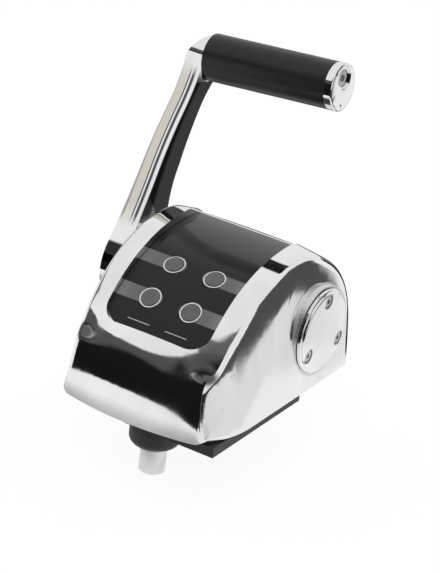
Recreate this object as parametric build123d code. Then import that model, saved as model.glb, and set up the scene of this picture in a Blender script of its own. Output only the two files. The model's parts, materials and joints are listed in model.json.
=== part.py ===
from build123d import *
import math
import os

# Single-lever marine throttle and shift control head.
# Frame: X to starboard, Y forward (away from the helmsman), Z up.
# The origin is the centre of the housing's flat underside, which sits on the console.

# ---- driving dimensions, mm ----
HEAD_FRONT = -75.7          # foot of the front face on the centre line
HEAD_REAR = 77.7            # foot of the rear face on the centre line
CREASE_X = 48.0             # edge between the crowned top and the side walls
SIDE_X = 58.0               # half width of the underside
TOP_SIDE_X = 49.0           # half width that the side walls lean in to
TAPER_TOP = 95.0            # height at which the walls reach it
FOOT_R = 3.5                # rounding along the foot of the side walls
SHOULDER_R = 6.0            # rounding between the crowned top and the side walls
REAR_CORNER = 13.0          # radius of the walls' rear corners
KEY_Y, KEY_Z = 23.3, -23.4  # axis of the keypad's arc
KEY_R = 105.0               # outer face of the keypad
KEY_FRONT, KEY_REAR = 48.9, -9.5    # angles of its front and rear edges
KEY_HALF = 34.2             # half width of the keypad
KEY_CORNER = 12.0
OVERLAY_T = 1.0
CROWN_R = 112.0             # crowned top on the centre line
LEDGE_R = 104.6             # low strip behind the keypad
WALL_R = 98.0               # inside of the top wall
BUTTON_X = 13.55
BUTTON_ROWS = (22.9, 37.0)  # angles of the two rows on the keypad's arc
BUTTON_R = 5.6
PIVOT_Y, PIVOT_Z = 35.7, 37.05
PAD_R, PAD_X = 26.9, 57.0   # round bosses round the pivot
COVER_X = 55.7              # seat of the cover disc on the starboard boss
DISC_R, DISC_X = 25.6, 59.3
HUB_R = 26.1
HUB_IN, HUB_OUT = 57.5, 81.0
ARM_IN = 67.0
LEAN = 11.2                 # neutral lever leans forward by this angle
GRIP_S = 132.8              # grip axis above the pivot, along the lever
GRIP_X = -49.5              # inboard face of the lever's head
GRIP_TILT = 4.3
GRIP_R, GRIP_L = 14.0, 81.0
CAP_T = 5.0
CORE_R, SPIGOT_R = 9.0, 6.0
SHAFT_R = 8.0
BUSH_R = 11.0
BLOCK_X, BLOCK_Y0, BLOCK_Y1, BLOCK_H = 53.3, -66.4, 26.2, 6.2     # deep starboard half of the tray
PAD_Y0, PAD_H = -56.0, 2.6  # shallow port half
TRAY_T = 3.0
BOSS_Y, BOSS_R, BOSS_H = -41.6, 15.2, 26.5
PLUG_R, PLUG_H = 7.8, 44.1
NECK_R, PLUG_IN_R = 8.2, 6.6    # connector's threaded neck and its inside
BOLT_X, BOLT_Y = 38.0, 54.0     # mounting holes, from the centre
MOUNT_LUG_R = 8.0           # lugs in the housing round the mounting threads
LUG_TOP, RIB_REACH = 24.0, 14.0
COVER_SCREW_R = 19.2
BEARING_X = 38.0            # inner end of the bearing bosses
SEAL_R, SEAL_T = 13.0, 5.0
SHAFT_END = 76.2            # outboard end of the shaft
CLIPS = (-35.6, 34.4)
DETENT_X, DETENT_R = -24.0, 20.0
DRUM_R = 14.0
SENSE_X = 14.0
BOARD_A, BOARD_R = 30.0, 91.0   # tilt of the circuit board, its face from the keypad's axis
BOARD_X, BOARD_L, BOARD_T = 26.0, 43.0, 1.6
STEM_R, STEM_L = 2.3, 8.3
SCREW_UP, DOWEL_DOWN = 5.2, 10.6    # on the grip's end cap
HEAD_SEAT = 1.0             # floor of the cap's counterbore above the grip's end
GAP = 0.3

PLANE_X = Plane(origin=(0, 0, 0), x_dir=(0, 1, 0), z_dir=(1, 0, 0))    # draws in Y and Z


def on_x(x):
    return PLANE_X.offset(x)


def ray(radius, angle):
    a = math.radians(angle)
    return (KEY_Y - radius * math.sin(a), KEY_Z + radius * math.cos(a))


def disc_x(r, x0, x1, y=PIVOT_Y, z=PIVOT_Z):
    """Round bar along X."""
    return on_x(x0) * Pos(y, z) * Cylinder(r, x1 - x0, align=(Align.CENTER, Align.CENTER, Align.MIN))


def bar_z(r, z0, z1, x=0.0, y=0.0):
    """Round bar along Z."""
    return Pos(x, y, z0) * Cylinder(r, z1 - z0, align=(Align.CENTER, Align.CENTER, Align.MIN))


def block(x0, x1, y0, y1, z0, z1):
    return Pos((x0 + x1) / 2, (y0 + y1) / 2, (z0 + z1) / 2) * Box(x1 - x0, y1 - y0, z1 - z0)


# ---- crowned hood: front, top and rear in one skin ----
CENTRE_FRONT = [(-75.7, 0), (-75.3, 12), (-74.0, 24), (-71.4, 34)]
CREASE_FRONT = [(-69.3, 0), (-69.3, 10), (-67.9, 22), (-64.1, 35.2)]
TOP_ANGLES = [54, 48, 42, 36, 30, 22, 12, 2, -5]
CREASE_RADII = [103.2, 103.3, 104.0, 105.5, 107.0, 107.9, 108.4, 108.3, 107.2]
CENTRE_REAR = [
    (43.9, 80.4), (53.9, 72.9), (63.7, 65.0), (70.6, 55.2), (75.4, 44.0), (77.8, 30.0), (78.1, 15), (77.7, 0)]
CREASE_REAR = [
    (44.1, 78.0), (53.3, 72.2), (62.1, 64.6), (69.2, 54.8), (73.7, 43.4), (76.0, 30.0), (76.4, 15), (75.7, 0)]


def hood_points(x):
    """Side profile at x: the crease profile plus the crown, a parabola across the width."""
    k = 1 - (x / CREASE_X) ** 2
    centre = CENTRE_FRONT + [ray(CROWN_R, a) for a in TOP_ANGLES] + CENTRE_REAR
    crease = CREASE_FRONT + [ray(r, a) for r, a in zip(CREASE_RADII, TOP_ANGLES)] + CREASE_REAR
    return [(c[0] + k * (m[0] - c[0]), c[1] + k * (m[1] - c[1])) for m, c in zip(centre, crease)]


def hood():
    faces = []
    for x in (-62, -31, 0, 31, 62):
        pts = hood_points(x)
        foot = Polyline(pts[-1], (pts[-1][0], -5), (pts[0][0], -5), pts[0])
        faces.append(on_x(x) * make_face(Spline(*pts) + foot))
    return loft(faces)


def plan_face(half, bow_r, bow_start, corner, inset, z):
    """Plan of the side walls: bowed towards the front, straight sides, round rear corners."""
    half -= inset
    rear = HEAD_REAR + 3 - inset

    def bow(y):
        return half - bow_r + math.sqrt(bow_r ** 2 - (bow_start - y) ** 2)

    front = -88.0
    edges = []
    for s in (1, -1):
        middle = (front + bow_start) / 2
        edges.append(ThreePointArc((s * bow(front), front), (s * bow(middle), middle), (s * half, bow_start)))
        edges.append(Line((s * half, bow_start), (s * half, rear - corner)))
        diag = corner * (1 - math.sqrt(0.5))
        edges.append(ThreePointArc(
            (s * half, rear - corner), (s * (half - diag), rear - diag), (s * (half - corner), rear)))
    edges.append(Line((half - corner, rear), (corner - half, rear)))
    edges.append(Line((bow(front), front), (-bow(front), front)))
    return Pos(0, 0, z) * make_face(edges)


def walls(inset):
    low = plan_face(SIDE_X, 60.0, -36.0, REAR_CORNER - inset, inset, -1 if inset else 0)
    high = plan_face(TOP_SIDE_X, 450.0, 20.0, REAR_CORNER - inset, inset, TAPER_TOP)
    return loft([low, high], ruled=True)


def sector(r0, r1, a0, a1, half, corner=0.0):
    """Slab that follows the keypad's arc; its front corners may be rounded."""
    mid = (a0 + a1) / 2
    face = make_face([
        ThreePointArc(ray(r0, a0), ray(r0, mid), ray(r0, a1)),
        Line(ray(r0, a1), ray(r1, a1)),
        ThreePointArc(ray(r1, a1), ray(r1, mid), ray(r1, a0)),
        Line(ray(r1, a0), ray(r0, a0)),
    ])
    slab = extrude(on_x(-half) * face, 2 * half)
    if corner:
        y, z = ray((r0 + r1) / 2, a1)
        ends = [e for e in slab.edges().filter_by(GeomType.LINE) if abs(e.center().X) > half - 1]
        near = [e for e in ends if abs(e.center().Y - y) + abs(e.center().Z - z) < 0.5]
        slab = fillet(near, corner)
    return slab


def on_keypad(x, angle, r=KEY_R):
    """Plane on the keypad's arc, facing out, with its x along X."""
    y, z = ray(r, angle)
    a = math.radians(angle)
    return Plane(origin=(x, y, z), x_dir=(1, 0, 0), z_dir=(0, -math.sin(a), math.cos(a)))


BUTTONS = [(s * BUTTON_X, a) for a in BUTTON_ROWS for s in (-1, 1)]
TOP_HALF = KEY_HALF + GAP
TRAY_SCREWS = [(sx * 44.0, y) for sx in (-1, 1) for y in (-44.0, 10.0)]
MOUNT_HOLES = [(sx * BOLT_X, sy * BOLT_Y) for sx in (-1, 1) for sy in (-1, 1)]
BOARD_POSTS = [(sx * 22.0, sy * 18.0) for sx in (-1, 1) for sy in (-1, 1)]
UP = (Align.CENTER, Align.CENTER, Align.MIN)
DOWN = (Align.CENTER, Align.CENTER, Align.MAX)


def hole_ring(count, radius, start=90.0):
    angles = [math.radians(start + i * 360 / count) for i in range(count)]
    return [(PIVOT_Y + radius * math.cos(a), PIVOT_Z + radius * math.sin(a)) for a in angles]


def group(shapes):
    """Several separate solids in one node."""
    return Compound(children=[solid for shape in shapes for solid in shape.solids()])


def socket_screw(place, head_r, head_h, shank_r, shank_l, key):
    """Socket screw whose head stands on the place's plane, shank pointing down."""
    screw = place * Cylinder(head_r, head_h, align=UP)
    screw += place * Cylinder(shank_r, shank_l, align=DOWN)
    key_hole = extrude(RegularPolygon(key / math.sqrt(3), 6), -head_h * 0.65)
    return screw - place * Pos(0, 0, head_h) * key_hole


# ---- housing and what is fixed to it ----
def housing():
    body = hood() & walls(0)
    # round the shoulders and the upright rear corners, but not the foot or the walls' own tangent lines
    rising = [e for e in body.edges() if max((e @ 0).Z, (e @ 1).Z) > 5 and abs(e.center().X) > 44]
    shoulders = [e for e in rising if max(abs((e @ 0).X), abs((e @ 1).X)) < SIDE_X - 1]
    body = fillet(shoulders, SHOULDER_R)
    shell = walls(0)
    body &= fillet(shell.edges().group_by(Axis.Z)[0], FOOT_R)
    # recess for the keypad, open at the rear, with a lower ledge behind the keypad
    body -= sector(KEY_R - OVERLAY_T, 135, KEY_REAR, KEY_FRONT, TOP_HALF, KEY_CORNER)
    body -= sector(LEDGE_R, 135, -40, KEY_REAR + 0.1, TOP_HALF)
    # round bosses at the pivot
    body += disc_x(PAD_R, 40, COVER_X)
    body -= disc_x(DISC_R + 0.3, COVER_X, SIDE_X + 1)
    body += disc_x(PAD_R, -PAD_X, -40)
    # one cavity inside, open below, with lugs, bearing bosses and board posts left standing
    cavity_side = make_face([
        Line((68.0, -5), (-62.0, -5)),
        Line((-62.0, -5), (-57.5, 30)),
        Line((-57.5, 30), ray(WALL_R, 53)),
        ThreePointArc(ray(WALL_R, 53), ray(WALL_R, 25), ray(WALL_R, 0)),
        ThreePointArc(ray(WALL_R, 0), (55, 58), (70.5, 20)),
        Line((70.5, 20), (68.0, -5)),
    ])
    cavity = extrude(on_x(-70) * cavity_side, 140) & walls(5.5)
    for x, y in TRAY_SCREWS:
        cavity -= bar_z(5.5, TRAY_T, LUG_TOP, x, y)
        rib = math.copysign(RIB_REACH, x)
        cavity -= block(min(x, x + rib), max(x, x + rib), y - 2, y + 2, TRAY_T, LUG_TOP)
    for x, y in MOUNT_HOLES:
        cavity -= bar_z(MOUNT_LUG_R, -5, LUG_TOP, x, y)
    cavity -= disc_x(18, -PAD_X, -BEARING_X)
    cavity -= disc_x(18, BEARING_X, COVER_X)
    for x, y in BOARD_POSTS:
        cavity -= board_plane() * Pos(x, y, 0) * Cylinder(3.5, 12, align=UP)
    body -= cavity
    # bearing bores, seal seat and holes for the cover screws
    body -= disc_x(BUSH_R, -PAD_X - 1, PAD_X + 1)
    body -= disc_x(SEAL_R, -PAD_X - 1, -PAD_X + SEAL_T)
    for y, z in hole_ring(3, COVER_SCREW_R):
        body -= disc_x(1.65, COVER_X - 9, COVER_X + 1, y, z)
    # holes for the tray screws, the console bolts and the board screws
    for x, y in TRAY_SCREWS:
        body -= bar_z(1.65, -1, 16, x, y)
    for x, y in MOUNT_HOLES:
        body -= bar_z(2.5, -1, 20, x, y)
    for x, y in BOARD_POSTS:
        body -= board_plane() * Pos(x, y, 0) * Cylinder(1.25, 5, align=UP)
    # wells for the button caps and their stems
    for x, a in BUTTONS:
        floor = on_keypad(x, a, KEY_R - 3.4)
        body -= floor * Cylinder(BUTTON_R + 0.2, 6, align=UP)
        body -= floor * Cylinder(STEM_R + 0.3, 10)
    return body


def board_plane(r=None):
    """Plane of the circuit board's upper face: x to starboard, y up the slope."""
    return on_keypad(0, BOARD_A, r or BOARD_R)


def keypad_overlay():
    plate = sector(KEY_R - OVERLAY_T, KEY_R, KEY_REAR, KEY_FRONT - 0.15, KEY_HALF, KEY_CORNER - GAP)
    for x, a in BUTTONS:
        plate -= on_keypad(x, a) * Cylinder(BUTTON_R + 0.2, 10)
    return plate


def button(x, angle):
    cap = Pos(0, 0, 0.6) * Cylinder(BUTTON_R, 2.8, align=DOWN)
    cap = fillet(cap.edges().filter_by(GeomType.CIRCLE).sort_by(Axis.Z)[-1], 0.4)
    return on_keypad(x, angle) * (cap + Cylinder(STEM_R, STEM_L, align=DOWN))


def circuit_board():
    board = board_plane() * Pos(0, 0, -BOARD_T / 2) * Box(2 * BOARD_X, BOARD_L, BOARD_T)
    for x, y in BOARD_POSTS:
        board -= board_plane() * Pos(x, y, 0) * Cylinder(1.4, 6)
    return board


def board_screws():
    turn = Rot(180, 0, 0)
    return group([
        socket_screw(board_plane(BOARD_R - BOARD_T) * Pos(x, y, 0) * turn, 2.3, 1.8, 1.25, 5.5, 1.8)
        for x, y in BOARD_POSTS
    ])


def key_switches():
    switches = []
    for x, a in BUTTONS:
        off = KEY_R * math.sin(math.radians(BOARD_A - a))
        place = board_plane() * Pos(x, off, 0)
        switches.append(place * Box(6, 6, 2.6, align=UP) + place * Cylinder(1.7, 3.8, align=UP))
    return group(switches)


def tray():
    """Black under-cover: a plate inside the housing, a block under it and the connector's boss."""
    side = make_face([
        Line((67.6, 0), (-61.1, 0)),
        Line((-61.1, 0), (-60.6, TRAY_T)),
        Line((-60.6, TRAY_T), (67.8, TRAY_T)),
        Line((67.8, TRAY_T), (67.6, 0)),
    ])
    cover = extrude(on_x(-70) * side, 140) & walls(6.0)
    cover += block(-6, BLOCK_X, BLOCK_Y0, BLOCK_Y1, -BLOCK_H, 0)
    cover += block(4 - BLOCK_X, -6, PAD_Y0, BLOCK_Y1, -PAD_H, 0)
    boss = bar_z(BOSS_R, -BOSS_H, 0, 0, BOSS_Y)
    cover += fillet(boss.edges().filter_by(GeomType.CIRCLE).sort_by(Axis.Z)[0], 5.0)
    cover -= bar_z(NECK_R + 0.2, -BOSS_H - 1, TRAY_T + 1, 0, BOSS_Y)
    for x, y in TRAY_SCREWS:
        cover -= bar_z(1.75, -BLOCK_H - 1, TRAY_T + 1, x, y)
        cover -= bar_z(3.4, -BLOCK_H - 1, 0, x, y)
    for x, y in MOUNT_HOLES:
        cover -= bar_z(MOUNT_LUG_R + GAP, 0, TRAY_T + 1, x, y)
        cover -= bar_z(3.3, -BLOCK_H - 1, 1, x, y)
    cover -= bar_z(3.0, -1, TRAY_T + 1, 0, PIVOT_Y)
    cover += bar_z(8, TRAY_T, 9, 0, PIVOT_Y) - bar_z(3.0, 0, 10, 0, PIVOT_Y)
    cover += bar_z(6, TRAY_T, 5, DETENT_X, PIVOT_Y)
    return cover


def tray_screws():
    turn = Rot(180, 0, 0)
    return group([
        socket_screw(Pos(x, y, 0) * turn, 3.2, 2.3, 1.65, 15, 2.5) for x, y in TRAY_SCREWS
    ])


def cover_gasket():
    ring = disc_x(DISC_R - 0.8, COVER_X, COVER_X + 0.5) - disc_x(13, COVER_X - 1, COVER_X + 1)
    for y, z in hole_ring(3, COVER_SCREW_R):
        ring -= disc_x(1.8, COVER_X - 1, COVER_X + 1, y, z)
    return ring


def cover_disc():
    disc = disc_x(DISC_R, COVER_X + 0.5, DISC_X - 1.2)
    disc += disc_x(DISC_R - 1.8, COVER_X + 0.5, DISC_X)
    rims = [e for e in disc.edges().filter_by(GeomType.CIRCLE) if e.center().X > COVER_X + 1]
    disc = fillet([e for e in rims if e.center().X > DISC_X - 0.1 or e.radius > DISC_R - 0.5], 0.8)
    for y, z in hole_ring(3, COVER_SCREW_R):
        disc -= disc_x(1.8, COVER_X, DISC_X + 1, y, z)
        disc -= disc_x(3.6, DISC_X - 2.2, DISC_X + 1, y, z)
    return disc


def cover_screws():
    return group([
        socket_screw(on_x(DISC_X - 2.2) * Pos(y, z), 3.3, 2.0, 1.65, 10, 2.5)
        for y, z in hole_ring(3, COVER_SCREW_R)
    ])


def bush(side):
    sleeve = disc_x(BUSH_R, BEARING_X, PAD_X - SEAL_T if side < 0 else COVER_X)
    sleeve += disc_x(14, BEARING_X - 2, BEARING_X)
    sleeve -= disc_x(SHAFT_R + 0.04, 0, 80)
    return sleeve if side > 0 else mirror(sleeve, Plane.YZ)


def shaft_seal():
    return disc_x(SEAL_R, -PAD_X, -PAD_X + SEAL_T) - disc_x(SHAFT_R + 0.06, -80, 0)


# ---- connector under the head ----
def connector_shell():
    shell = bar_z(NECK_R, -BOSS_H, 10, 0, BOSS_Y)
    shell += bar_z(9.6, -BOSS_H - 2.0, -BOSS_H, 0, BOSS_Y)
    shell += bar_z(PLUG_R, -PLUG_H, -BOSS_H, 0, BOSS_Y)
    shell = chamfer(shell.edges().filter_by(GeomType.CIRCLE).sort_by(Axis.Z)[0], 0.6)
    return shell - bar_z(PLUG_IN_R, -PLUG_H - 1, 11, 0, BOSS_Y)


def connector_nut():
    nut = Pos(0, BOSS_Y, TRAY_T) * extrude(RegularPolygon(12.5, 6), 4)
    return nut - bar_z(NECK_R, 0, 10, 0, BOSS_Y)


CONTACTS = [(0.0, 0.0)] + [
    (3.9 * math.cos(math.radians(60 * i)), 3.9 * math.sin(math.radians(60 * i))) for i in range(6)
]


def connector_insert():
    insert = bar_z(PLUG_IN_R, -PLUG_H + 1.5, -20, 0, BOSS_Y)
    for x, y in CONTACTS:
        insert -= bar_z(0.75, -PLUG_H, -19, x, BOSS_Y + y)
    return insert


def connector_contacts():
    return group([bar_z(0.75, -PLUG_H + 5, -14, x, BOSS_Y + y) for x, y in CONTACTS])


# ---- mechanism ----
def pivot_shaft():
    shaft = disc_x(SHAFT_R, -SHAFT_END, COVER_X - 1.0)
    shaft -= disc_x(4.0, -SHAFT_END - 1, -SHAFT_END + 18)
    for x in CLIPS:
        shaft -= disc_x(SHAFT_R + 1, x, x + 1.2) - disc_x(SHAFT_R - 1, x, x + 1.2)
    return shaft - key_block()


def key_block():
    y, z = PIVOT_Y, PIVOT_Z + SHAFT_R
    return block(-72, -58, y - 2.5, y + 2.5, z - 2.5, z + 2.0)


def shaft_clips():
    clips = []
    for x in CLIPS:
        ring = disc_x(12, x, x + 1.2) - disc_x(SHAFT_R - 1, x, x + 1.2)
        clips.append(ring - block(x - 1, x + 2, PIVOT_Y - 3, PIVOT_Y + 3, PIVOT_Z - 14, PIVOT_Z))
    return group(clips)


def detent_wheel():
    wheel = disc_x(DETENT_R, DETENT_X - 4, DETENT_X + 4) + disc_x(11, DETENT_X + 4, DETENT_X + 10)
    for turn in (-20, 0, 20):
        a = math.radians(-90 + turn)
        y, z = PIVOT_Y + (DETENT_R + 1.6) * math.cos(a), PIVOT_Z + (DETENT_R + 1.6) * math.sin(a)
        wheel -= disc_x(3.2, DETENT_X - 5, DETENT_X + 5, y, z)
    for y, z in hole_ring(6, 14.5, 30):
        wheel -= disc_x(2.4, DETENT_X - 5, DETENT_X + 5, y, z)
    return wheel - disc_x(SHAFT_R, -80, 80)


DETENT_TOP = PIVOT_Z - DETENT_R     # crest of the wheel over the ball


def detent_barrel():
    barrel = bar_z(5.5, 5, DETENT_TOP - 2.0, DETENT_X, PIVOT_Y)
    return barrel - bar_z(3.05, 6.5, DETENT_TOP, DETENT_X, PIVOT_Y)


def detent_ball():
    return Pos(DETENT_X, PIVOT_Y, DETENT_TOP - 3.1) * Sphere(3.0)


def detent_spring():
    return bar_z(2.6, 6.5, DETENT_TOP - 5.6, DETENT_X, PIVOT_Y) - bar_z(1.7, 6, DETENT_TOP, DETENT_X, PIVOT_Y)


def brake_drum():
    return disc_x(DRUM_R, -6, 6) - disc_x(SHAFT_R, -80, 80)


def brake_shoe():
    shoe = block(-6, 6, PIVOT_Y - 11, PIVOT_Y + 11, PIVOT_Z - DRUM_R - 7, PIVOT_Z - DRUM_R + 3)
    return shoe - disc_x(DRUM_R + 0.1, -10, 10) - bar_z(3.0, 0, PIVOT_Z - DRUM_R - 4, 0, PIVOT_Y)


def brake_screw():
    top = PIVOT_Z - DRUM_R - 4
    screw = bar_z(3.0, 1.0, top, 0, PIVOT_Y)
    return screw - Pos(0, PIVOT_Y, 1.0) * extrude(RegularPolygon(3 / math.sqrt(3), 6), 3)


def magnet_ring():
    return disc_x(13, SENSE_X, SENSE_X + 5) - disc_x(SHAFT_R, -80, 80)


def sensor_board():
    board = block(SENSE_X + 8, SENSE_X + 9.6, PIVOT_Y - 14, PIVOT_Y + 14, TRAY_T, PIVOT_Z - 9)
    chip = block(SENSE_X + 6.4, SENSE_X + 8, PIVOT_Y - 3, PIVOT_Y + 3, PIVOT_Z - 14, PIVOT_Z - 9.5)
    return board + chip


# ---- lever, built upright on its own pivot and then leaned forward ----
LEVER = Pos(0, PIVOT_Y, PIVOT_Z) * Rot(-LEAN, 0, 0)
GRIP = LEVER * Pos(GRIP_X, 0, GRIP_S) * Rot(0, 90 - GRIP_TILT, 0)


def blade_side():
    """Side view of the lever: hub, tapering blade and round head."""
    edges = []
    for s, waist, neck in ((1, (12.6, 36.0), 10.4), (-1, (-15.6, 32.0), -11.0)):
        edges.append(ThreePointArc((s * 25.4, 6.0), waist, (neck, 62.0)))
        edges.append(Line((neck, 62.0), (s * 8.4, 100.0)))
        edges.append(ThreePointArc((s * 8.4, 100.0), (s * 9.4, 116.0), (s * 13.4, GRIP_S - 4.0)))
    edges.append(Line((25.4, 6.0), (-25.4, 6.0)))
    edges.append(Line((13.4, GRIP_S - 4.0), (-13.4, GRIP_S - 4.0)))
    return make_face(edges) + Circle(HUB_R) + Pos(0, GRIP_S) * Circle(GRIP_R)


def blade_front():
    """Front view: the blade leans inboard from the hub and bends over into the head."""
    t = math.radians(GRIP_TILT)
    top = (GRIP_X - GRIP_R * math.sin(t), GRIP_S + GRIP_R * math.cos(t))
    low = (GRIP_X + GRIP_R * math.sin(t), GRIP_S - GRIP_R * math.cos(t))
    return make_face([
        Line((-HUB_OUT, -30), (-HUB_OUT, 20)),
        ThreePointArc((-HUB_OUT, 20), (-72.4, 82), (-60.8, 128)),
        ThreePointArc((-60.8, 128), (-57.2, 139.5), top),
        Line(top, low),
        Line(low, (-51.8, 117.6)),
        ThreePointArc((-51.8, 117.6), (-62.2, 70), (-ARM_IN, 22)),
        Line((-ARM_IN, 22), (-ARM_IN, -30)),
        Line((-ARM_IN, -30), (-HUB_OUT, -30)),
    ])


def lever_arm():
    arm = extrude(on_x(-90) * blade_side(), 60)
    arm &= extrude(Plane.XZ.offset(-40) * blade_front(), 80)
    # flute with round ends along the front inboard corner
    line = ThreePointArc((-66.8, -17.0, 38), (-62.0, -13.2, 72), (-53.4, -11.6, 110))
    flute = sweep(Plane(origin=line @ 0, z_dir=line % 0) * Circle(6.4), line)
    flute += Pos(line @ 0) * Sphere(6.4)
    flute += Pos(line @ 1) * Sphere(6.4)
    arm -= flute
    arm = LEVER * arm
    arm += disc_x(22, -ARM_IN - 1, -HUB_IN)
    arm -= disc_x(SHAFT_R, -SHAFT_END, 0)
    arm -= disc_x(12.0, -HUB_OUT - 1, -SHAFT_END)
    arm -= key_block()
    arm -= GRIP * Cylinder(SPIGOT_R, 6.5, align=DOWN)
    return arm


def hub_washer():
    return disc_x(11.6, -SHAFT_END - 2, -SHAFT_END) - disc_x(4.0, -80, 0)


def hub_screw():
    place = on_x(-SHAFT_END - 2) * Pos(PIVOT_Y, PIVOT_Z) * Rot(180, 0, 0)
    return socket_screw(place, 7.0, 2.6, 4.0, 16, 5)


def grip_core():
    core = GRIP * Cylinder(CORE_R, GRIP_L, align=UP)
    core += GRIP * Cylinder(SPIGOT_R, 6.5, align=DOWN)
    return core - GRIP * Pos(-SCREW_UP, 0, GRIP_L) * Cylinder(2.5, 17, align=DOWN)


def grip_sleeve():
    tube = Cylinder(GRIP_R, GRIP_L, align=UP)
    tube = chamfer(tube.edges().filter_by(GeomType.CIRCLE), 0.4)
    tube -= Cylinder(CORE_R, 3 * GRIP_L)
    tube -= Pos(DOWEL_DOWN, 0, GRIP_L) * Cylinder(1.0, 6, align=DOWN)
    return GRIP * tube


def grip_cap():
    cap = Pos(0, 0, GRIP_L) * Cylinder(GRIP_R, CAP_T, align=UP)
    cap = fillet(cap.edges().filter_by(GeomType.CIRCLE).sort_by(Axis.Z)[-1], 1.2)
    cap -= Pos(-SCREW_UP, 0, GRIP_L) * Cylinder(2.6, 9, align=UP)
    cap -= Pos(-SCREW_UP, 0, GRIP_L + HEAD_SEAT) * Cylinder(5.3, 9, align=UP)
    cap -= Pos(-SCREW_UP, 0, GRIP_L + CAP_T - 1.2) * Cylinder(7.4, 9, align=UP)
    cap -= Pos(DOWEL_DOWN, 0, GRIP_L) * Cylinder(1.0, 9, align=UP)
    return GRIP * cap


def grip_screw():
    return socket_screw(GRIP * Pos(-SCREW_UP, 0, GRIP_L + HEAD_SEAT), 4.9, 2.6, 2.5, 16, 4)


def grip_dowel():
    return GRIP * Pos(DOWEL_DOWN, 0, GRIP_L - 6) * Cylinder(1.0, 6 + CAP_T - 0.5, align=UP)


PARTS = {
    "housing": housing,
    "keypad_overlay": keypad_overlay,
    "circuit_board": circuit_board,
    "board_screws": board_screws,
    "key_switches": key_switches,
    "tray": tray,
    "tray_screws": tray_screws,
    "cover_gasket": cover_gasket,
    "cover_disc": cover_disc,
    "cover_screws": cover_screws,
    "bush_port": lambda: bush(-1),
    "bush_starboard": lambda: bush(1),
    "shaft_seal": shaft_seal,
    "connector_shell": connector_shell,
    "connector_nut": connector_nut,
    "connector_insert": connector_insert,
    "connector_contacts": connector_contacts,
    "detent_barrel": detent_barrel,
    "detent_spring": detent_spring,
    "detent_ball": detent_ball,
    "brake_shoe": brake_shoe,
    "brake_screw": brake_screw,
    "sensor_board": sensor_board,
    "pivot_shaft": pivot_shaft,
    "shaft_key": key_block,
    "shaft_clips": shaft_clips,
    "detent_wheel": detent_wheel,
    "brake_drum": brake_drum,
    "magnet_ring": magnet_ring,
    "lever_arm": lever_arm,
    "hub_washer": hub_washer,
    "hub_screw": hub_screw,
    "grip_core": grip_core,
    "grip_sleeve": grip_sleeve,
    "grip_cap": grip_cap,
    "grip_screw": grip_screw,
    "grip_dowel": grip_dowel,
}
for number, (x, angle) in enumerate(BUTTONS, 1):
    PARTS[f"button_{number}"] = lambda x=x, angle=angle: button(x, angle)

os.makedirs("parts", exist_ok=True)
for name, make in PARTS.items():
    shape = make()
    shape.label = name
    export_step(shape, f"parts/{name}.step")
    print(name, len(shape.solids()), round(shape.volume))
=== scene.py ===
"""Looks of a top-mount marine control head, laid out as an add-on and run as a script."""
import json
import math
from functools import reduce

import bpy
from mathutils import Matrix, Vector

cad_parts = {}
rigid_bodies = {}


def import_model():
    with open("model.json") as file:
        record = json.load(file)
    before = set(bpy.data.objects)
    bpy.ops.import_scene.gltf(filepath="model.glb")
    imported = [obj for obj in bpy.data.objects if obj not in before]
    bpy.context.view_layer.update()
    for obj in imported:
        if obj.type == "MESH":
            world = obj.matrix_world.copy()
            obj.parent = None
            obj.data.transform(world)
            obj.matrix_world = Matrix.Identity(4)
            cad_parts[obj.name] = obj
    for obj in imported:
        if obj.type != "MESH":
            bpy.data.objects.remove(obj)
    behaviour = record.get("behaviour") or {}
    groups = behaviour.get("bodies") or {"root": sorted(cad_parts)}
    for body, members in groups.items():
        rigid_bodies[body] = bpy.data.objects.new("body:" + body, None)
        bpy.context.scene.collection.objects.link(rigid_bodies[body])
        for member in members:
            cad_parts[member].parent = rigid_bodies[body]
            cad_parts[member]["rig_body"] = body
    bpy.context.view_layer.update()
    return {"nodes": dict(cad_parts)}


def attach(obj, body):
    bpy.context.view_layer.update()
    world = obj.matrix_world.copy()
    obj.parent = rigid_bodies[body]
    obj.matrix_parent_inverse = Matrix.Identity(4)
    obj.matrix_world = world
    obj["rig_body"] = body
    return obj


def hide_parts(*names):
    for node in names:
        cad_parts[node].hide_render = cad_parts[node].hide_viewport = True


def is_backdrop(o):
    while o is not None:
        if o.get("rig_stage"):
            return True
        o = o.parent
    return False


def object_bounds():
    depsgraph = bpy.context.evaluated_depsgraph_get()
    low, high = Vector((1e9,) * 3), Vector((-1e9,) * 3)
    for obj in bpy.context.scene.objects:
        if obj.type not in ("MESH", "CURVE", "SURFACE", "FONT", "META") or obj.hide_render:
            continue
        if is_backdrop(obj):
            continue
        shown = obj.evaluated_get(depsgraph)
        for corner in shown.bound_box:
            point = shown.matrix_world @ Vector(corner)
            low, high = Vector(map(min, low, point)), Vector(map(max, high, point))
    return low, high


bl_info = {
    "name": "Marine Control Head",
    "version": (1, 0, 0),
    "blender": (4, 5, 0),
    "location": "View3D > Sidebar > Control Head",
    "description": "Finishes for a single-lever marine control head and the studio it stands in",
    "category": "Object",
}

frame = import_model()
NODES = frame["nodes"]
MM = 0.001

# the keypad's arc, and its keys: distance from the middle, and degrees down from the arc's top
ARC_Y, ARC_Z, ARC_R = 23.3 * MM, -23.4 * MM, 105 * MM
KEY_X = 13.55 * MM
KEY_ROWS = (22.9, 37.0)

# the keypad's print; a pair of edges is where a mark starts to show and where it is full
BAR_ROUNDED_FROM = 2.6 * MM
BAR_HALF_WIDTH = 4.8 * MM
BAR_SOFT = 0.12 * MM
RING_RADIUS = 6.1 * MM
RING_EDGES = (0.48 * MM, 0.30 * MM)
LINE_ALONG, LINE_X = 83.5 * MM, 12.5 * MM
LINE_EDGES = (0.30 * MM, 0.18 * MM)
LINE_ENDS = (7.35 * MM, 7.2 * MM)
LINE_LEVEL = 0.35

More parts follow.
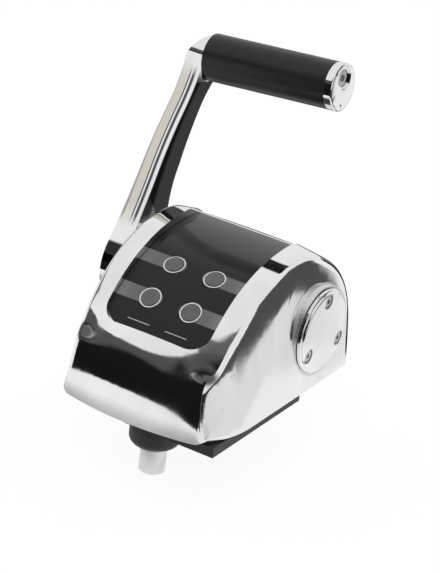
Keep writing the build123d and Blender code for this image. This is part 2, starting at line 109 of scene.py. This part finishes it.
# the lever's pivot, the ring of the round cover's screws, and the painted shadow ring in the recess
# round each screw
PIVOT_Y, PIVOT_Z = 35.7 * MM, 37.05 * MM
SCREW_RING = 19.2 * MM
SCREW_ANGLES = (90, 210, 330)
RECESS_SHADOW_FROM, RECESS_SHADOW_TO, RECESS_SHADOW_SOFT = 3.5 * MM, 4.7 * MM, 0.15 * MM

# the painted shade in each of the housing's front corners, and the boss under the round cover
CORNER_SHADE_AT = (40 * MM, -62 * MM, 38 * MM)
CORNER_SHADE_REACH = (9 * MM, 8 * MM, 4.5 * MM)
BOSS_X = (50.5 * MM, 51.5 * MM)
BOSS_RADIUS = (28.0 * MM, 27.5 * MM)

# the lever's inboard edge: constant, slope and curvature of x over the height above EDGE_FROM
EDGE_FROM = 65 * MM
EDGE_X, EDGE_SLOPE, EDGE_CURVE = -66.8 * MM, 0.055, 1.277
LEVER_WIDTH = 12.3 * MM
# marks across the lever, 0 at its outer edge and 1 at its inboard edge, with their softness: a
# cream strip of painted reflection, and lines of painted shade that draw the flute
REFLECTED_STRIP = (0.04, 0.46, 0.02)
FLUTE_SHADE_LINES = ((0.465, 0.535, 0.012), (0.62, 0.77, 0.025))
FLUTE_SHADE = 0.93
# painted shade on the lever's foot: lowest and highest height, and softness
FOOT_SHADE = (37 * MM, 55 * MM, 0.7 * MM)


# ---- shader maths ----
class Value:
    """A socket that takes part in Python arithmetic; each operation adds a Math node."""

    def __init__(self, shader, socket):
        self.shader = shader
        self.socket = socket

    def math(self, operation, *others):
        operands = dict(enumerate((self,) + others))
        return self.shader.value("ShaderNodeMath", {"operation": operation}, 0, operands)

    def __add__(self, other):
        return self.math("ADD", other)

    def __mul__(self, other):
        return self.math("MULTIPLY", other)

    def __sub__(self, other):
        return self.math("SUBTRACT", other)

    def __rsub__(self, other):
        return (self * -1) + other

    def __abs__(self):
        return self.math("ABSOLUTE")

    def low(self, other):
        return self.math("MINIMUM", other)

    def high(self, other):
        return self.math("MAXIMUM", other)

    def root(self):
        return self.math("SQRT")

    def angle(self, other):
        return self.math("ARCTAN2", other)

    def fade(self, start, end):
        """0 at start, 1 at end, smooth between."""
        given = {"interpolation_type": "SMOOTHSTEP"}
        return self.shader.value("ShaderNodeMapRange", given, 0, {0: self, 1: start, 2: end})


class Shader:
    """The nodes of one material or of the world."""

    def __init__(self, owner):
        owner.use_nodes = True
        self.owner = owner
        self.tree = owner.node_tree
        self.tree.nodes.clear()
        self.where = None

    def node(self, kind, given=None, sockets=None):
        """Adds a node: its settings first, then the values or links of its sockets."""
        made = self.tree.nodes.new(kind)
        for name, setting in (given or {}).items():
            setattr(made, name, setting)
        for name, given_value in (sockets or {}).items():
            socket = made.inputs[name]
            if isinstance(given_value, Value):
                self.tree.links.new(given_value.socket, socket)
            else:
                socket.default_value = given_value
        return made

    def value(self, kind, given=None, output=0, sockets=None):
        return Value(self, self.node(kind, given, sockets).outputs[output])

    def place(self):
        """Object coordinates, made once."""
        if self.where is None:
            self.where = self.value("ShaderNodeTexCoord", None, "Object")
        return self.where

    def axes(self, vector):
        split = self.node("ShaderNodeSeparateXYZ", None, {0: vector})
        return [Value(self, split.outputs[i]) for i in range(3)]

    def noise(self, scale, detail=2.0, stretch=(1, 1, 1)):
        spot = self.value("ShaderNodeMapping", None, 0, {"Vector": self.place(), "Scale": stretch})
        wanted = {"Vector": spot, "Scale": scale, "Detail": detail}
        return self.value("ShaderNodeTexNoise", None, 0, wanted)

    def blend(self, factor, first, second):
        """Mixes two colours or colour sockets."""
        given = {"data_type": "RGBA"}
        return self.value("ShaderNodeMix", given, 2, {0: factor, 6: first, 7: second})

    def colour(self, level):
        """A grey of the given level."""
        return self.value("ShaderNodeCombineColor", None, 0, {0: level, 1: level, 2: level})

    def bump(self, height, distance, strength=1.0):
        wanted = {"Height": height, "Distance": distance, "Strength": strength}
        return self.value("ShaderNodeBump", None, 0, wanted)

    def finish(self, **sockets):
        """Ends a material in one Principled shader."""
        wanted = {name.replace("_", " "): value for name, value in sockets.items()}
        surface = self.value("ShaderNodeBsdfPrincipled", None, 0, wanted)
        self.node("ShaderNodeOutputMaterial", None, {0: surface})
        return self.owner


def grey(level):
    return (level, level, level, 1.0)


def opaque(colour):
    return tuple(colour) + (1.0,)


def window(value, left, right, soft):
    """1 between left and right and 0 outside them, with soft edges."""
    return value.fade(left - soft, left + soft) * value.fade(right + soft, right - soft)


def distance(*offsets):
    """Length of the vector that has these components."""
    return reduce(Value.__add__, [offset * offset for offset in offsets]).root()


def new_shader(name):
    return Shader(bpy.data.materials.new(name))


# ---- finishes ----
def polished_chrome(settings, name, extra=None):
    """Bright plate over a polished casting: faint polishing haze, small pits and a slow ripple.

    extra gives three masks for the places that differ: a colour of painted reflection, painted
    shade, and added roughness.
    """
    s = new_shader(name)
    haze = s.noise(38.0, 3.0, (1.0, 1.0, 0.35))
    swirl = s.noise(420.0, 2.0, (1.0, 0.25, 1.0))
    pits = s.noise(900.0, 1.0).fade(0.74, 0.80)
    ripple = s.noise(16.0, 1.0)
    rough = haze.fade(0.35, 0.75) * settings.haze + swirl * 0.02 + pits * 0.15 + settings.polish
    tint = s.blend(haze.fade(0.3, 0.8), opaque(settings.colour), grey(0.80))
    shape = s.bump(ripple, settings.ripple * MM)
    if extra:
        satin, dark, matte = extra(s)
        rough = rough + matte
        # painted reflection from the first mask, painted shade from the second
        tint = s.blend(satin, tint, opaque(settings.satin))
        tint = s.blend(dark, tint, grey(settings.painted_shade_level))
    return s.finish(Base_Color=tint, Metallic=1.0, Roughness=rough, Normal=shape)


def corner_shade_and_boss(s):
    """Masks on the housing: painted shade in each front corner, and a less polished boss."""
    x, y, z = s.axes(s.place())
    offsets = [
        (place - centre) * (1 / reach)
        for place, centre, reach in zip((abs(x), y, z), CORNER_SHADE_AT, CORNER_SHADE_REACH)
    ]
    # painted shade: a dark patch in each front corner of the chrome
    patch = distance(*offsets).fade(1.2, 0.5)
    boss = x.fade(*BOSS_X) * distance(y - PIVOT_Y, z - PIVOT_Z).fade(*BOSS_RADIUS)
    return 0.0, patch * 0.9, boss * 0.32


def recess_shadow_rings(s):
    """Masks on the round cover: a painted shadow ring in the recess of each of its screws, on one
    side of it.
    """
    _, y, z = s.axes(s.place())
    rings = []
    for angle in map(math.radians, SCREW_ANGLES):
        off_y = y - (PIVOT_Y + SCREW_RING * math.cos(angle))
        off_z = z - (PIVOT_Z + SCREW_RING * math.sin(angle))
        ring = window(distance(off_y, off_z), RECESS_SHADOW_FROM, RECESS_SHADOW_TO, RECESS_SHADOW_SOFT)
        # painted shadow, kept to one side of each recess
        rings.append(ring * (off_y - off_z).fade(-4 * MM, 0.5 * MM))
    return 0.0, reduce(Value.high, rings) * 0.8, 0.0


def lever_painted_marks(s):
    """Masks on the lever's front: a cream strip of painted reflection, lines of painted shade that
    draw the flute, and painted shade on its foot.
    """
    x, y, z = s.axes(s.place())
    up = z - EDGE_FROM
    edge = up * up * EDGE_CURVE + up * EDGE_SLOPE + EDGE_X
    across = (x - edge) * (1 / LEVER_WIDTH) + 1
    front = (y - z * 0.2).fade(25 * MM, 21 * MM)
    length = z.fade(64 * MM, 72 * MM) * z.fade(166 * MM, 156 * MM)
    # painted reflection: the cream strip down the lever's front, which also gets a little roughness
    satin = window(across, *REFLECTED_STRIP) * z.fade(60 * MM, 80 * MM) * z.fade(172 * MM, 152 * MM)
    satin = satin * front
    # painted shade: the flute's lines and the lever's edges, drawn without depth
    lines = reduce(Value.__add__, [window(across, *line) for line in FLUTE_SHADE_LINES])
    edge_shade = across.fade(0.94, 0.98) + across.fade(0.07, 0.03) * 0.6
    flute = ((lines + edge_shade) * length * front * FLUTE_SHADE).low(FLUTE_SHADE)
    # painted shade: a dark patch on the front face of the lever's foot
    foot = window(z, *FOOT_SHADE) * (y - z * 0.65).fade(-17.5 * MM, -18.5 * MM)
    return satin, flute.high(foot), satin * 0.1


def brushed_metal(name, colour, rough, stretch, scale=260.0):
    """Turned or brushed metal with fine lines along one direction."""
    s = new_shader(name)
    lines = s.noise(scale, 4.0, stretch)
    stains = s.noise(60.0, 3.0)
    stained = opaque(c * 0.78 for c in colour)
    tint = s.blend(stains.fade(0.35, 0.7), opaque(colour), stained)
    shape = s.bump(lines, 0.02 * MM, 0.6)
    return s.finish(Base_Color=tint, Metallic=1.0, Roughness=lines * 0.22 + rough, Normal=shape)


def moulded_plastic(name, level, rough, grain, depth):
    """Moulded black plastic with a fine grain and slightly worn high spots."""
    s = new_shader(name)
    fine = s.noise(grain, 3.0)
    patches = s.noise(45.0, 2.0)
    tint = s.blend(patches.fade(0.3, 0.75), grey(level), grey(level * 1.6 + 0.002))
    shape = s.bump(fine, depth * MM, 0.7)
    roughness = fine * 0.12 + patches * 0.08 + rough
    return s.finish(Base_Color=tint, Roughness=roughness, Normal=shape)


def printed_marks(s):
    """Masks of the keypad's print: a bar from each key to the edge, a ring round each, two lines.

    Two places on the film come before them: across it, and along its arc from the top.
    """
    x, y, z = s.axes(s.place())
    along = (ARC_Y - y).angle(z - ARC_Z) * ARC_R
    side = abs(x)
    bars, rings = [], []
    for row in KEY_ROWS:
        up = abs(along - math.radians(row) * ARC_R)
        run = side - KEY_X
        past = (run * -1 - BAR_ROUNDED_FROM).high(0.0)
        bars.append(distance(past, up).fade(BAR_HALF_WIDTH + BAR_SOFT, BAR_HALF_WIDTH - BAR_SOFT))
        rings.append(abs(distance(run, up) - RING_RADIUS).fade(*RING_EDGES))
    lines = abs(along - LINE_ALONG).fade(*LINE_EDGES) * abs(side - LINE_X).fade(*LINE_ENDS)
    return x, along, reduce(Value.high, bars), reduce(Value.high, rings), lines


def keypad_film(settings):
    s = new_shader("keypad_film")
    x, along, bars, rings, lines = printed_marks(s)
    speckle = s.noise(1500.0, 2.0)
    cloud = s.noise(30.0, 2.0)
    base = s.blend(speckle * 0.4 + cloud * 0.3, grey(settings.film), grey(settings.film * 1.8))
    base = s.blend(along.fade(40 * MM, 5 * MM), base, grey(settings.film * 5))
    inner, outer = grey(settings.bar * 0.7), grey(settings.bar * 1.2)
    bar_tint = s.blend(abs(x).fade(24 * MM, 38 * MM), inner, outer)
    tint = s.blend(bars, base, bar_tint)
    tint = s.blend(lines, tint, grey(LINE_LEVEL))
    tint = s.blend(rings, tint, grey(settings.ring))
    peel = s.noise(160.0, 2.0)
    print_edge = s.bump((bars + rings + lines).low(1.0), 0.015 * MM, 0.4)
    shape = s.value("ShaderNodeBump", None, 0, {
        "Height": peel, "Distance": 0.03 * MM, "Strength": 0.35, "Normal": print_edge})
    rough = speckle * 0.05 + settings.gloss
    return s.finish(Base_Color=tint, Roughness=rough, Normal=shape, Specular_IOR_Level=0.2)


def key_cap(settings):
    s = new_shader("key_cap")
    speckle = s.noise(1200.0, 2.0)
    wear = s.noise(140.0, 3.0)
    tint = s.blend(wear.fade(0.35, 0.75), grey(settings.cap), grey(settings.cap * 0.7))
    shape = s.bump(speckle, 0.02 * MM, 0.5)
    return s.finish(Base_Color=tint, Roughness=wear * 0.12 + 0.28, Normal=shape)


def grip_coat(settings):
    """Smooth black grip with a soft sheen."""
    s = new_shader("grip_coat")
    fine = s.noise(2200.0, 3.0)
    smear = s.noise(34.0, 3.0, (0.35, 1.0, 1.0))
    tint = s.blend(smear.fade(0.3, 0.8), grey(settings.grip), grey(settings.grip * 1.5))
    shape = s.bump(fine, 0.012 * MM, 0.6)
    rough = fine * 0.06 + smear * 0.10 + settings.sheen
    return s.finish(Base_Color=tint, Roughness=rough, Normal=shape, Specular_IOR_Level=0.3)


def rubber(name):
    s = new_shader(name)
    fine = s.noise(1800.0, 3.0)
    tint = s.blend(s.noise(60.0), grey(0.012), grey(0.03))
    return s.finish(Base_Color=tint, Roughness=fine * 0.2 + 0.6, Normal=s.bump(fine, 0.02 * MM))


def green_board():
    """Lacquered circuit board with faint tracks."""
    s = new_shader("circuit_board")
    x, y, _ = s.axes(s.place())
    tracks = ((x * 1500).math("SINE") * (y * 1100).math("SINE")).fade(0.55, 0.75)
    tint = s.blend(tracks, (0.01, 0.10, 0.04, 1.0), (0.03, 0.22, 0.09, 1.0))
    rough = s.noise(300.0) * 0.1 + 0.3
    return s.finish(Base_Color=tint, Roughness=rough, Normal=s.bump(tracks, 0.03 * MM))


# ---- pieces ----
def select_only(piece):
    if bpy.context.object and bpy.context.object.mode != "OBJECT":
        bpy.ops.object.mode_set(mode="OBJECT")
    bpy.ops.object.select_all(action="DESELECT")
    piece.select_set(True)
    bpy.context.view_layer.objects.active = piece


def body_of(node):
    return NODES[node]["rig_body"]


def smooth_copy(node, angle):
    """A welded copy that stands for a frame node, smooth where it curves and sharp at its edges."""
    piece = bpy.data.objects.new(node + "_finished", NODES[node].data.copy())
    bpy.context.scene.collection.objects.link(piece)
    select_only(piece)
    if piece.data.has_custom_normals:
        bpy.ops.mesh.customdata_custom_splitnormals_clear()
    bpy.ops.object.mode_set(mode="EDIT")
    bpy.ops.mesh.select_all(action="SELECT")
    bpy.ops.mesh.remove_doubles(threshold=0.0005 * MM)
    bpy.ops.object.mode_set(mode="OBJECT")
    bpy.ops.object.shade_smooth_by_angle(angle=math.radians(angle))
    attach(piece, body_of(node))
    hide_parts(node)
    return piece


def dress(piece, material):
    piece.data.materials.clear()
    piece.data.materials.append(material)


def finish_nodes(nodes, material, angle=30):
    for node in nodes:
        piece = smooth_copy(node, angle)
        dress(piece, material)


# ---- settings ----
class HeadChrome(bpy.types.PropertyGroup):
    """Bright plate of the castings."""

    colour: bpy.props.FloatVectorProperty(
        name="Plate colour", description="Colour of the bright plate", subtype="COLOR",
        default=(0.90, 0.90, 0.905), min=0, max=1)
    polish: bpy.props.FloatProperty(
        name="Polish", description="Roughness of the best polished places",
        default=0.035, min=0, max=1)
    haze: bpy.props.FloatProperty(
        name="Haze", description="Roughness that the polishing haze adds",
        default=0.05, min=0, max=1)
    # the strip's colour is a painted reflection
    satin: bpy.props.FloatVectorProperty(
        name="Reflected strip", description="Colour of the satin strip on the lever's front",
        subtype="COLOR", default=(0.67, 0.645, 0.57), min=0, max=1)
    # brightness of all painted shade on the castings: front corners, screw recesses, flute and the
    # lever's foot
    painted_shade_level: bpy.props.FloatProperty(
        name="Painted shade", description="Brightness of the dark lines in the lever's flute",
        default=0.03, min=0, max=1)
    ripple: bpy.props.FloatProperty(
        name="Ripple", description="Depth of the casting's slow ripple, in millimetres",
        default=0.03, min=0, max=2)


class HeadKeypad(bpy.types.PropertyGroup):
    """Keypad film, its print and the keys."""

    film: bpy.props.FloatProperty(
        name="Film", description="Brightness of the black film", default=0.008, min=0, max=1)
    bar: bpy.props.FloatProperty(
        name="Bars", description="Brightness of the printed bars", default=0.14, min=0, max=1)
    ring: bpy.props.FloatProperty(
        name="Rings", description="Brightness of the rings round the keys",
        default=0.55, min=0, max=1)
    cap: bpy.props.FloatProperty(
        name="Keys", description="Brightness of the keys", default=0.075, min=0, max=1)
    gloss: bpy.props.FloatProperty(
        name="Gloss", description="Roughness of the film", default=0.12, min=0, max=1)


class HeadGrip(bpy.types.PropertyGroup):
    """Hand grip."""

    grip: bpy.props.FloatProperty(
        name="Grip", description="Brightness of the grip", default=0.008, min=0, max=1)
    sheen: bpy.props.FloatProperty(
        name="Sheen", description="Roughness of the grip", default=0.26, min=0, max=1)


class HeadStudio(bpy.types.PropertyGroup):
    """Camera, floor and light."""

    lens: bpy.props.FloatProperty(
        name="Lens", description="Focal length of the camera",
        default=168.12, min=10, max=500, unit="CAMERA")
    floor: bpy.props.FloatVectorProperty(
        name="Floor", description="Colour of the floor",
        subtype="COLOR", default=(0.92, 0.92, 0.92), min=0, max=1)
    floor_size: bpy.props.FloatProperty(
        name="Floor size", description="Width of the floor",
        default=8.0, min=1, max=50, unit="LENGTH")


# ---- operators ----
class HEAD_OT_castings(bpy.types.Operator):
    """Housing, round cover, lever and grip cap in bright plate"""

    bl_idname = "head.castings"
    bl_label = "Chrome castings"

    def execute(self, context):
        settings = context.scene.head_chrome
        finish_nodes(["grip_cap"], polished_chrome(settings, "polished_chrome"), 28)
        finish_nodes(["cover_disc"], polished_chrome(settings, "cover_chrome", recess_shadow_rings), 28)
        finish_nodes(["housing"], polished_chrome(settings, "housing_chrome", corner_shade_and_boss), 28)
        finish_nodes(["lever_arm"], polished_chrome(settings, "lever_chrome", lever_painted_marks), 28)
        return {"FINISHED"}


class HEAD_OT_keypad(bpy.types.Operator):
    """Keypad film with its print, and the four keys"""

    bl_idname = "head.keypad"
    bl_label = "Keypad"

    def execute(self, context):
        settings = context.scene.head_keypad
        finish_nodes(["keypad_overlay"], keypad_film(settings))
        finish_nodes([f"button_{i}" for i in range(1, 5)], key_cap(settings))
        return {"FINISHED"}


class HEAD_OT_grip(bpy.types.Operator):
    """Sleeve of the hand grip"""

    bl_idname = "head.grip"
    bl_label = "Grip"

    def execute(self, context):
        finish_nodes(["grip_sleeve"], grip_coat(context.scene.head_grip))
        return {"FINISHED"}


class HEAD_OT_tray(bpy.types.Operator):
    """Black under-tray and the other plastic pieces"""

    bl_idname = "head.tray"
    bl_label = "Tray and plastics"

    def execute(self, context):
        plastic = moulded_plastic("tray_plastic", 0.014, 0.42, 1400.0, 0.05)
        moulded = ["tray", "connector_insert", "key_switches", "brake_shoe", "magnet_ring"]
        finish_nodes(moulded, plastic)
        finish_nodes(["cover_gasket", "shaft_seal"], rubber("seal_rubber"))
        finish_nodes(["circuit_board", "sensor_board"], green_board())
        return {"FINISHED"}


class HEAD_OT_metal(bpy.types.Operator):
    """Plug, screws, shaft and the moving pieces inside"""

    bl_idname = "head.metal"
    bl_label = "Plain metal"

    def execute(self, context):
        plated = brushed_metal("plated_plug", (0.72, 0.72, 0.71), 0.12, (1.0, 1.0, 0.05))
        finish_nodes(["connector_shell", "connector_nut"], plated)
        steel = brushed_metal("stainless_steel", (0.60, 0.60, 0.61), 0.18, (0.15, 1.0, 1.0))
        finish_nodes([
            "board_screws", "tray_screws", "cover_screws", "hub_screw", "hub_washer", "grip_screw",
            "grip_dowel", "pivot_shaft", "shaft_key", "shaft_clips", "detent_wheel",
            "detent_barrel", "detent_spring", "detent_ball", "brake_screw", "brake_drum"], steel)
        bronze = brushed_metal("bearing_bronze", (0.62, 0.44, 0.20), 0.25, (0.15, 1.0, 1.0))
        finish_nodes(["bush_port", "bush_starboard", "connector_contacts"], bronze)
        alloy = brushed_metal("cast_alloy", (0.66, 0.66, 0.67), 0.35, (1.0, 1.0, 1.0), 700.0)
        finish_nodes(["grip_core"], alloy)
        return {"FINISHED"}


class HEAD_OT_studio(bpy.types.Operator):
    """Camera, pale floor, lamps and the room that the chrome mirrors"""

    bl_idname = "head.studio"
    bl_label = "Studio"

    def execute(self, context):
        settings = context.scene.head_studio
        place_camera(settings)
        lay_floor(settings)
        light_room()
        return {"FINISHED"}


# ---- studio ----
# the camera: where it stands, and its own right, up and back directions
CAMERA_AT = Vector((695.85, -1189.42, 713.04)) * MM
CAMERA_RIGHT = Vector((0.83578, 0.53957, 0.10165))
CAMERA_UP = Vector((-0.31089, 0.31245, 0.89762))
CAMERA_BACK = Vector((0.45257, -0.78182, 0.42888))
SENSOR_WIDTH = 36.0
CLIP_START, CLIP_END = 0.05, 50.0

# levels of grey that the chrome mirrors, from white to black
SHEET, CARD, WALL = 0.94, 0.90, 0.88
FLOOR_BEHIND, WEDGE, BAND, DARK, FLOOR_PATCH, BLACK = 0.22, 0.12, 0.085, 0.078, 0.045, 0.008
# level of the world for every ray that is neither mirrored nor from the camera
AMBIENT = 0.75

# zones by azimuth, 0 in front of the head and 90 to starboard: from, to and softness in degrees
FLOOR_ZONES = {
    "contact": (-80, 35, 10),
    "beside": (60, 147, 8),
    "screen": (-55, 40, 2),
    "outside": (40, 147, 2),
    "behind": (-200, -118, 8),
}
ROOM_ZONES = {
    "band": (-128, 40, 3),
    "screen": (-57, 40, 3),
    "port": (-128, -57, 3),
    "wedge": (0, 32, 2),
    "back": (96, 150, 2),
}

FLOOR_GAP = 0.5 * MM
# how far from the head the white sheet ends in front and at the side, before its edge's bends
SHEET_EDGE, SIDE_EDGE = 0.262, 0.350

# cards: name, centre, facing, width and height
CARDS = (
    ("lever_card", (-0.140, -0.095, 0.155), (0.45, 0.89, 0.0), 0.12, 0.125),
    ("grip_card", (-0.152, -0.055, 0.086), (0.0, 0.35, 1.0), 0.12, 0.085),
)
# area lamps: name, place, width and power, all turned to LAMPS_AIM
LAMPS = (
    ("key_lamp", (0.5, -0.9, 1.3), 0.9, 9.0),
    ("fill_lamp", (-0.9, -0.2, 1.0), 0.8, 5.0),
    ("back_lamp", (0.3, 1.0, 1.1), 0.8, 5.0),
)
LAMPS_AIM = Vector((0, 0, 0.06))


def place_camera(settings):
    data = bpy.data.cameras.new("studio_camera")
    data.lens = settings.lens
    data.sensor_width = SENSOR_WIDTH
    data.clip_start, data.clip_end = CLIP_START, CLIP_END
    camera = bpy.data.objects.new("studio_camera", data)
    bpy.context.scene.collection.objects.link(camera)
    turned = Matrix((CAMERA_RIGHT, CAMERA_UP, CAMERA_BACK)).transposed().to_4x4()
    camera.matrix_world = Matrix.Translation(CAMERA_AT) @ turned
    bpy.context.scene.camera = camera


def ray_kinds(s):
    """Whether a ray comes from the camera, and whether it was mirrored."""
    path = s.node("ShaderNodeLightPath")
    return Value(s, path.outputs["Is Camera Ray"]), Value(s, path.outputs["Is Glossy Ray"])


def azimuth(x, y):
    """Degrees round the head, 0 in front and 90 to starboard."""
    return x.angle(y * -1) * math.degrees(1)


def zones(turn, limits):
    return {name: window(turn, *ends) for name, ends in limits.items()}


def floor_tone(s):
    """What the chrome mirrors of the floor: a white sheet with the dark floor outside it, and a
    painted shadow of the head on the sheet.
    """
    x, y, _ = s.axes(s.place())
    reach = distance(x, y)
    turn = azimuth(x, y)
    zone = zones(turn, FLOOR_ZONES)
    # the sheet has a painted shadow close to the head in front, and is a little darker beside it
    contact = zone["contact"] * reach.fade(205 * MM, 140 * MM) * reach.fade(50 * MM, 105 * MM)
    beside = zone["beside"] * reach.fade(190 * MM, 230 * MM)
    sheet = contact * -0.55 + beside * -0.13 + SHEET
    # the sheet's edge bends in front and bulges at the side
    bends = window(turn, -42, -8, 12) * 0.030
    bends = bends - turn.fade(-5, 12) * 0.050 + turn.fade(18, 28) * 0.060
    screen = (reach - (bends + SHEET_EDGE)).fade(-8 * MM, 8 * MM) * zone["screen"]
    far = window(turn, 80, 104, 6) * 0.028 + SIDE_EDGE
    outside = (reach - far).fade(-4 * MM, 4 * MM) * zone["outside"]
    behind = reach.fade(120 * MM, 260 * MM) * zone["behind"]
    patch = y.fade(185 * MM, 200 * MM) * (x - y * 0.15).fade(83 * MM, 73 * MM)
    patch = patch * x.fade(-80 * MM, -60 * MM)
    tone = s.blend(behind, s.colour(sheet), grey(FLOOR_BEHIND))
    tone = s.blend(patch, tone, grey(FLOOR_PATCH))
    tone = s.blend(outside, tone, s.blend(turn.fade(60, 66), grey(BLACK), grey(DARK)))
    return s.blend(screen, tone, grey(BLACK))


def lay_floor(settings):
    """Pale floor, white to the camera, with a tone of its own for mirrored rays."""
    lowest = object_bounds()[0].z
    bpy.ops.object.select_all(action="DESELECT")
    bpy.ops.mesh.primitive_plane_add(
        size=settings.floor_size, location=(0, 0, lowest - FLOOR_GAP))
    floor = bpy.context.object
    floor.name = "floor"
    s = new_shader("studio_floor")
    seen, mirrored = ray_kinds(s)
    tone = floor_tone(s)
    mottled = s.blend(s.noise(3.0), opaque(settings.floor), grey(0.90))
    plain = s.value("ShaderNodeBsdfDiffuse", None, 0, {"Color": mottled})
    white = s.value("ShaderNodeEmission", None, 0, {"Color": grey(1.0), "Strength": 1.0})
    mirror = s.value("ShaderNodeEmission", None, 0, {"Color": tone, "Strength": 1.0})
    mixed = s.value("ShaderNodeMixShader", None, 0, {0: seen * 0.93, 1: plain, 2: white})
    masked = s.value("ShaderNodeMixShader", None, 0, {0: mirrored, 1: mixed, 2: mirror})
    s.node("ShaderNodeOutputMaterial", None, {0: masked})
    dress(floor, s.owner)
    floor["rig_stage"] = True


def mirrored_card(name, centre, facing, width, height):
    """White card that only reflections see, and only from the side it faces."""
    bpy.ops.object.select_all(action="DESELECT")
    bpy.ops.mesh.primitive_plane_add(size=1.0)
    card = bpy.context.object
    card.name = name
    turned = Vector(facing).to_track_quat("Z", "Y").to_matrix().to_4x4()
    card.data.transform(Matrix.Diagonal((width, height, 1.0, 1.0)))
    card.data.transform(Matrix.Translation(Vector(centre)) @ turned)
    s = new_shader(name)
    away = s.value("ShaderNodeNewGeometry", None, "Backfacing")
    glow = s.value("ShaderNodeEmission", None, 0, {"Color": grey(CARD), "Strength": 1.0})
    clear = s.value("ShaderNodeBsdfTransparent")
    shown = s.value("ShaderNodeMixShader", None, 0, {0: away, 1: glow, 2: clear})
    s.node("ShaderNodeOutputMaterial", None, {0: shown})
    dress(card, s.owner)
    for ray in ("camera", "diffuse", "shadow", "transmission"):
        setattr(card, "visible_" + ray, False)
    card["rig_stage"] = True


def paint_room():
    """The room that the chrome mirrors, by azimuth and height in degrees; white to the camera."""
    world = bpy.data.worlds.new("room")
    bpy.context.scene.world = world
    s = Shader(world)
    seen, mirrored = ray_kinds(s)
    x, y, z = s.axes(s.value("ShaderNodeTexCoord", None, "Generated"))
    height = z.math("ARCSINE") * math.degrees(1)
    turn = azimuth(x, y)
    zone = zones(turn, ROOM_ZONES)
    # the band and the black screen under it both rise from port to starboard
    rim = turn.fade(-110, -75) * 12 + turn.fade(-75, -20) * 6 + turn.fade(-32, 4) * 16 + 15
    band = zone["band"] * height.fade(rim + 1.2, rim - 1.2)
    top = turn.fade(-18, -6) * 22 + 20
    screen = zone["screen"] * (height - top).fade(3.5, -3.5)
    port = zone["port"] * height.fade(14, 8)
    wedge = zone["wedge"] * height.fade(58.5, 57)
    back = zone["back"] * window(height, -9, 46, 2)
    room = s.blend(wedge, grey(WALL), grey(WEDGE))
    room = s.blend(band, room, grey(BAND))
    room = s.blend(port, room, grey(WALL))
    room = s.blend(screen, room, grey(BLACK))
    room = s.blend(back, room, grey(DARK))
    level = s.blend(mirrored, grey(AMBIENT), room)
    level = s.blend(seen, level, grey(1.0))
    background = s.value("ShaderNodeBackground", None, 0, {"Color": level, "Strength": 1.0})
    s.node("ShaderNodeOutputWorld", None, {0: background})


def hang_lamps():
    """Area lamps that the chrome doesn't mirror."""
    for name, at, size, power in LAMPS:
        lamp = bpy.data.lights.new(name, "AREA")
        lamp.energy = power
        lamp.size = size
        holder = bpy.data.objects.new(name, lamp)
        bpy.context.scene.collection.objects.link(holder)
        holder.location = at
        holder.rotation_mode = "QUATERNION"
        holder.rotation_quaternion = (LAMPS_AIM - Vector(at)).to_track_quat("-Z", "Y")
        holder.visible_glossy = False


def light_room():
    paint_room()
    for card in CARDS:
        mirrored_card(*card)
    hang_lamps()
    bpy.context.scene.view_settings.view_transform = "Standard"


# ---- panel and registration ----
SETTINGS = {
    "head_chrome": HeadChrome,
    "head_keypad": HeadKeypad,
    "head_grip": HeadGrip,
    "head_studio": HeadStudio,
}
STEPS = [
    HEAD_OT_castings, HEAD_OT_keypad, HEAD_OT_grip, HEAD_OT_tray, HEAD_OT_metal, HEAD_OT_studio]


class HEAD_PT_sidebar(bpy.types.Panel):
    """Settings and steps of the control head"""

    bl_label = "Control Head"
    bl_idname = "HEAD_PT_sidebar"
    bl_space_type = "VIEW_3D"
    bl_region_type = "UI"
    bl_category = "Control Head"

    def draw(self, context):
        for name, kind in SETTINGS.items():
            box = self.layout.box()
            box.label(text=kind.bl_rna.name)
            for field in kind.__annotations__:
                box.prop(getattr(context.scene, name), field)
        for step in STEPS:
            self.layout.operator(step.bl_idname)


CLASSES = [*SETTINGS.values(), *STEPS, HEAD_PT_sidebar]


def register():
    for kind in CLASSES:
        bpy.utils.register_class(kind)
    for name, kind in SETTINGS.items():
        setattr(bpy.types.Scene, name, bpy.props.PointerProperty(type=kind))


def unregister():
    for name in SETTINGS:
        delattr(bpy.types.Scene, name)
    for kind in reversed(CLASSES):
        bpy.utils.unregister_class(kind)


def main():
    register()
    for step in STEPS:
        group, name = step.bl_idname.split(".")
        getattr(getattr(bpy.ops, group), name)()


if __name__ == "__main__":
    main()
